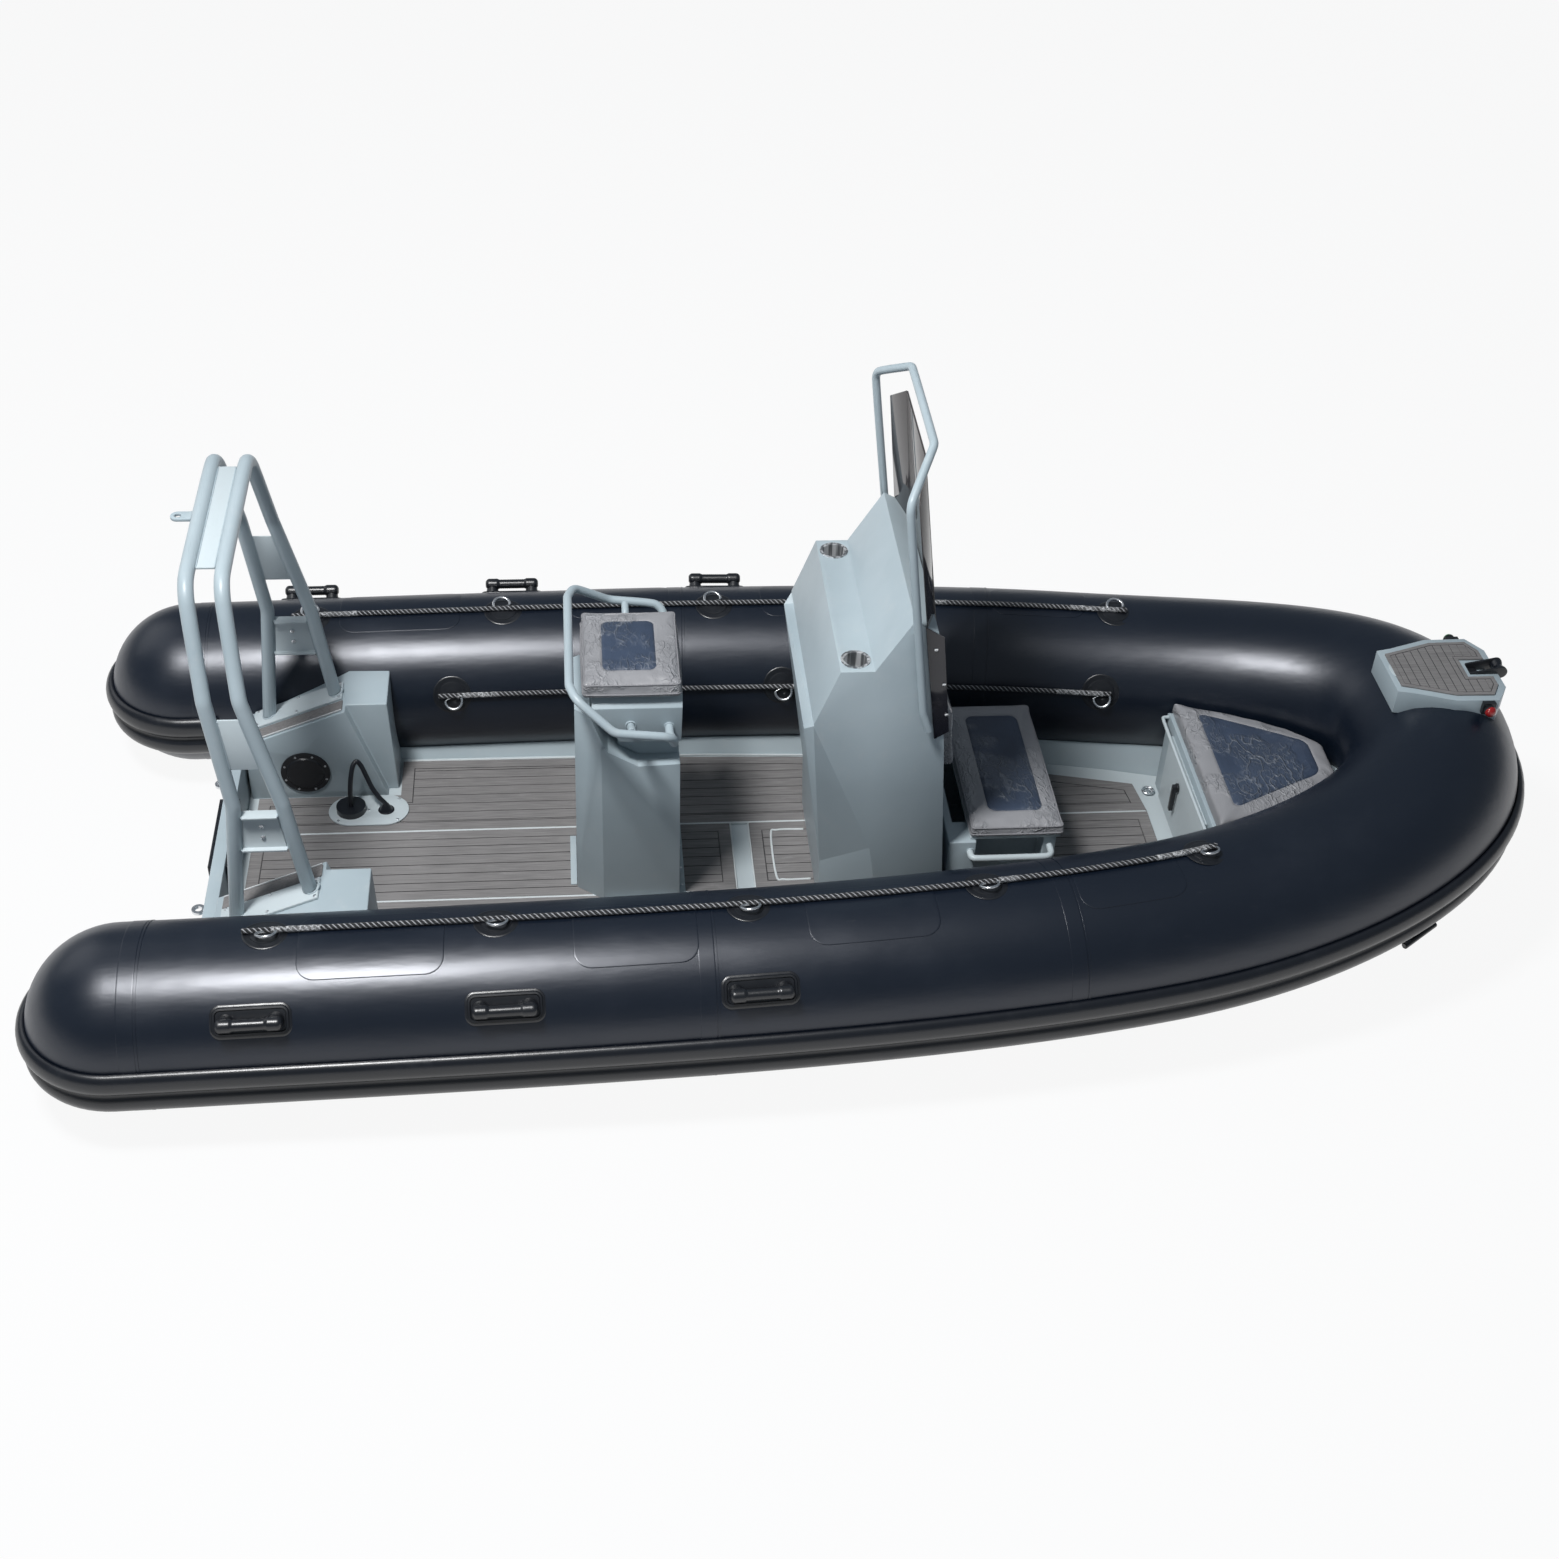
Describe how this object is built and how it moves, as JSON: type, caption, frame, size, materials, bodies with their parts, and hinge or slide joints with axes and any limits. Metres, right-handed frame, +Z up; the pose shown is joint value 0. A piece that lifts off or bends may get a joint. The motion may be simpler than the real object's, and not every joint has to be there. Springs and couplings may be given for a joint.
{
  "type": "rigid inflatable boat",
  "caption": "Open rib boat: black air tubes on a light aluminium vee hull, with a centre console, leaning post, stern arch and bow seat.",
  "frame": {"origin": "on the centreline at the waterline, level with the middle of the tubes' round aft ends", "axes": "+X forward to the bow, +Y to port, +Z up"},
  "size_m": [5.0377, 2.3772, 2.2636],
  "materials": {
    "painted_aluminium": "light blue-grey paint, satin",
    "tube_fabric": "black coated fabric, satin",
    "black_rubber": "matt",
    "rope": "braided",
    "deck_foam": "matt foam with dark grooves",
    "cushion_vinyl": "vinyl, taupe with a dark navy inset",
    "black_plastic": "satin",
    "stainless": "polished",
    "smoked_acrylic": "clear brown-grey"
  },
  "bodies": {
    "boat": {"hull": "painted_aluminium", "transom": "painted_aluminium", "engine_pads": "black_rubber", "deck_panel": "painted_aluminium", "deck_mats": "deck_foam", "tube_aft_port": "tube_fabric", "tube_aft_starboard": "tube_fabric", "tube_mid_port": "tube_fabric", "tube_mid_starboard": "tube_fabric", "tube_bow": "tube_fabric", "rubbing_strake": "black_rubber", "grab_handles": "black_rubber", "bow_handles": "black_rubber", "lifeline_rings": "black_rubber", "lifelines_outer": "rope", "lifelines_inner": "rope", "stern_locker_port": "painted_aluminium", "stern_locker_starboard": "painted_aluminium", "locker_pads": "deck_foam", "inspection_plates": "black_plastic", "arch_aft_hoop": "painted_aluminium", "arch_forward_hoop": "painted_aluminium", "arch_plates": "painted_aluminium", "arch_feet": "painted_aluminium", "arch_tow_eye": "painted_aluminium", "rigging_plate": "painted_aluminium", "rigging_hose": "black_rubber", "stern_eyes": "stainless", "leaning_post": "painted_aluminium", "leaning_post_head": "painted_aluminium", "leaning_post_cushion": "cushion_vinyl", "leaning_post_rail": "painted_aluminium", "console": "painted_aluminium", "cup_holders": "stainless", "windshield": "smoked_acrylic", "windshield_frame": "painted_aluminium", "console_backrest": "cushion_vinyl", "front_seat_box": "painted_aluminium", "front_seat_handles": "painted_aluminium", "bow_locker": "painted_aluminium", "bow_cushion": "cushion_vinyl", "bow_grab_bar": "painted_aluminium", "bow_step": "painted_aluminium", "bow_step_pad": "deck_foam", "bow_roller_bracket": "black_plastic", "navigation_lights": "black_plastic"},
    "front_seat_lid": {"front_seat_lid": "painted_aluminium", "front_seat_cushion": "cushion_vinyl"},
    "bow_locker_door": {"bow_locker_door": "painted_aluminium", "door_latch": "black_plastic"},
    "bow_roller": {"bow_roller": "black_rubber"}
  },
  "joints": [
    {"name": "front_seat_lid_hinge", "type": "hinge", "parent": "boat", "child": "front_seat_lid", "pos_m": [2.722, 0, 0.462], "axis": [0, -1, 0], "range_deg": [0, 65]},
    {"name": "bow_locker_door_hinge", "type": "hinge", "parent": "boat", "child": "bow_locker_door", "pos_m": [3.5704, -0.25, 0.277], "axis": [0, 0, 1], "range_deg": [0, 100]},
    {"name": "bow_roller_axle", "type": "hinge", "parent": "boat", "child": "bow_roller", "pos_m": [4.602, 0, 0.884], "axis": [0, 1, 0], "continuous": true}
  ]
}
